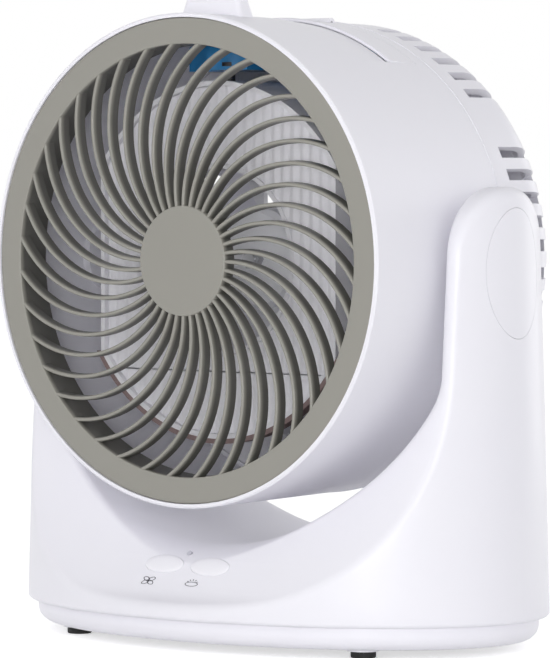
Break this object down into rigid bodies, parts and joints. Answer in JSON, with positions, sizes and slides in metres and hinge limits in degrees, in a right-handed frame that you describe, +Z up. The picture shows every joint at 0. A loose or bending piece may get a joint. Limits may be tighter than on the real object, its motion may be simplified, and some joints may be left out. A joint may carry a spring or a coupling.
{
  "type": "evaporative air cooler",
  "caption": "Tilting drum fan with a spiral front grille, wick pad and lidded water tank, carried between the arms of an oval base with push buttons.",
  "frame": {"origin": "on the floor under the middle of the base", "axes": "+Z up, -Y to the front where the air leaves, +X to the right seen from the front"},
  "size_m": [0.2782, 0.1808, 0.2992],
  "materials": {
    "body_white": "fine moulded satin",
    "plate_white": "fine moulded satin",
    "grille_grey": "smooth satin",
    "button_grey": "soft satin",
    "duct_white": "moulded satin",
    "pad_grey": "pleated wick",
    "foam_brown": "open foam",
    "tank_blue": "clear tinted",
    "nozzle_black": "plain",
    "foot_black": "matte",
    "washer_grey": "plain",
    "steel": "turned",
    "screw_steel": "plated",
    "motor_dark": "satin black",
    "fan_grey": "plain",
    "board_green": "solder resist",
    "lens_clear": "clear"
  },
  "bodies": {
    "base": {"base_shell": "body_white", "base_plate": "plate_white", "rubber_feet": "foot_black", "base_screws": "screw_steel", "left_arm_cap": "body_white", "right_arm_cap": "body_white", "left_pivot_pin": "steel", "right_pivot_pin": "steel", "friction_washers": "washer_grey", "control_board": "board_green", "tact_switches": "nozzle_black", "indicator_lens": "lens_clear", "power_inlet": "nozzle_black"},
    "head": {"drum_shell": "body_white", "front_grille": "grille_grey", "rear_cover": "body_white", "inner_duct": "duct_white", "wick_pad": "pad_grey", "pad_frame": "duct_white", "duct_seal": "foam_brown", "water_tank": "tank_blue", "drip_nozzle": "nozzle_black", "lid_hinge_pin": "steel", "tilt_grip": "body_white", "motor_housing": "motor_dark", "motor_bracket": "motor_dark", "bracket_screws": "screw_steel", "rear_screws": "screw_steel"},
    "fan": {"impeller": "fan_grey", "motor_shaft": "steel", "impeller_nut": "steel"},
    "lid": {"tank_lid": "body_white"},
    "left_key": {"fan_button": "button_grey"},
    "right_key": {"mist_button": "button_grey"}
  },
  "joints": [
    {"name": "head_tilt", "type": "hinge", "parent": "base", "child": "head", "pos_m": [0, 0, 0.178], "axis": [-1, 0, 0], "range_deg": [-15, 30]},
    {"name": "fan_spin", "type": "hinge", "parent": "head", "child": "fan", "pos_m": [0, 0, 0.178], "axis": [0, 1, 0], "continuous": true},
    {"name": "lid_hinge", "type": "hinge", "parent": "head", "child": "lid", "pos_m": [0, 0.016, 0.28827], "axis": [-1, 0, 0], "range_deg": [0, 75]},
    {"name": "fan_press", "type": "slide", "parent": "base", "child": "left_key", "axis": [0, 0.7826, -0.6225], "range_m": [0, 0.0012], "stiffness_N_per_m": 300, "springref_m": -0.002},
    {"name": "mist_press", "type": "slide", "parent": "base", "child": "right_key", "axis": [0, 0.7826, -0.6225], "range_m": [0, 0.0012], "stiffness_N_per_m": 300, "springref_m": -0.002}
  ]
}
